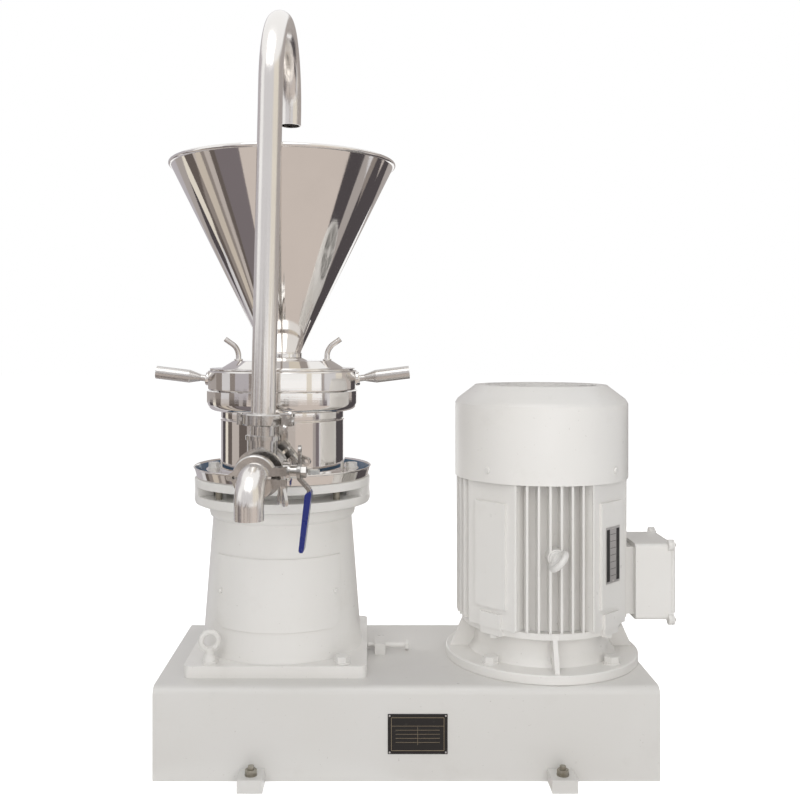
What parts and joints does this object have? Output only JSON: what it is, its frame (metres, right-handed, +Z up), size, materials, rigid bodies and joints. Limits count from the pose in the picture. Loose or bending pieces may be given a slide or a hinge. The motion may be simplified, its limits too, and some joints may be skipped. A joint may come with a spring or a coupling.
{
  "type": "colloid mill",
  "caption": "Vertical split colloid mill: hopper over an adjustable grinding head on a cast pedestal, belt driven by an upright motor, with a three way valve and return pipe.",
  "frame": {"origin": "on the floor under the middle of the base box, on its lower rim's plane", "axes": "+Z up, +X from the mill to the motor, -Y towards the discharge side"},
  "size_m": [0.9521, 0.6322, 1.3063],
  "materials": {
    "paint": "glossy off-white enamel",
    "polished": "mirror polished stainless steel",
    "satin": "satin stainless steel",
    "casting": "enamelled casting",
    "steel": "machined steel",
    "zinc": "zinc plated",
    "iron": "bare iron",
    "winding": "laminations and windings",
    "seal": "black rubber",
    "gasket": "white gasket",
    "belt": "belt rubber",
    "grip": "blue vinyl sleeve",
    "plastic": "moulded plastic"
  },
  "bodies": {
    "frame": {"base_deck": "paint", "base_walls": "paint", "base_lugs": "paint", "foot_bolts": "zinc", "pedestal_plate": "casting", "pedestal": "casting", "pedestal_cover": "paint", "pedestal_screws": "zinc", "pedestal_bolts": "zinc", "lifting_eye": "zinc", "bearing_housing": "casting", "flange_studs": "steel", "spindle_bearings": "steel", "bearing_cap": "steel", "shaft_seals": "seal", "drip_tray": "polished", "mill_housing": "satin", "housing_bolts": "zinc", "threaded_collar": "satin", "motor_shield": "casting", "motor_frame": "casting", "upper_shield": "casting", "shield_bolts": "zinc", "flange_bolts": "zinc", "fan_cover": "paint", "fan_grille": "paint", "fan_cover_screws": "zinc", "motor_eye": "zinc", "motor_stator": "winding", "motor_bearings": "steel", "terminal_box": "paint", "terminal_lid": "paint", "cable_gland": "plastic", "v_belts": "belt", "valve_body": "satin", "discharge_elbow": "polished", "circulation_pipe": "polished", "clamps": "satin", "clamp_gaskets": "gasket"},
    "motor_rotor": {"motor_rotor": "steel", "motor_fan": "plastic", "motor_pulley": "iron"},
    "mill_spindle": {"spindle": "steel", "rotor": "satin", "rotor_nut": "satin", "mill_pulley": "iron"},
    "stator_head": {"stator": "satin", "feed_cover": "polished", "cooling_nipples": "polished", "hopper_union": "polished", "hopper": "polished"},
    "adjusting_ring": {"adjusting_ring": "satin", "ring_retainer": "satin", "adjusting_handles": "satin"},
    "valve_lever": {"valve_ball": "satin", "valve_stem": "satin", "valve_lever": "satin", "lever_grip": "grip", "lever_nut": "satin"},
    "outlet_wing_nut": {"outlet_wing_nut": "satin"},
    "discharge_wing_nut": {"discharge_wing_nut": "satin"},
    "riser_wing_nut": {"riser_wing_nut": "satin"},
    "tension_screw": {"tension_screw": "zinc"}
  },
  "joints": [
    {"name": "motor_spin", "type": "hinge", "parent": "frame", "child": "motor_rotor", "pos_m": [0.256, -0.006, 0.3], "axis": [0, 0, 1], "continuous": true},
    {"name": "spindle_spin", "type": "hinge", "parent": "frame", "child": "mill_spindle", "pos_m": [-0.224, 0.012, 0.3], "axis": [0, 0, 1], "continuous": true},
    {"name": "stator_lift", "type": "slide", "parent": "frame", "child": "stator_head", "axis": [0, 0, 1], "range_m": [-0.0009, 0.0009]},
    {"name": "ring_turn", "type": "hinge", "parent": "stator_head", "child": "adjusting_ring", "pos_m": [-0.224, 0.012, 0.661], "axis": [0, 0, 1], "range_deg": [-80, 80]},
    {"name": "valve_turn", "type": "hinge", "parent": "frame", "child": "valve_lever", "pos_m": [-0.23493, -0.24877, 0.528], "axis": [-0.9989, 0.0419, 0.0227], "range_deg": [0, 90]},
    {"name": "outlet_nut_turn", "type": "hinge", "parent": "frame", "child": "outlet_wing_nut", "pos_m": [-0.18475, -0.17581, 0.53879], "axis": [0.6422, -0.0269, -0.766], "range_deg": [-180, 180]},
    {"name": "discharge_nut_turn", "type": "hinge", "parent": "frame", "child": "discharge_wing_nut", "pos_m": [-0.19511, -0.32551, 0.506], "axis": [0, 0, -1], "range_deg": [-180, 180]},
    {"name": "riser_nut_turn", "type": "hinge", "parent": "frame", "child": "riser_wing_nut", "pos_m": [-0.19102, -0.27263, 0.61], "axis": [-0.0419, -0.9991, 0], "range_deg": [-180, 180]},
    {"name": "tension_screw_turn", "type": "hinge", "parent": "frame", "child": "tension_screw", "pos_m": [-0.03, 0.012, 0.168], "axis": [1, 0, 0], "range_deg": [-180, 180]}
  ],
  "couplings": [
    {"joint": "spindle_spin", "follows": "motor_spin", "ratio": 1.2},
    {"joint": "stator_lift", "follows": "ring_turn", "m_per_rad": 0.00063662}
  ]
}
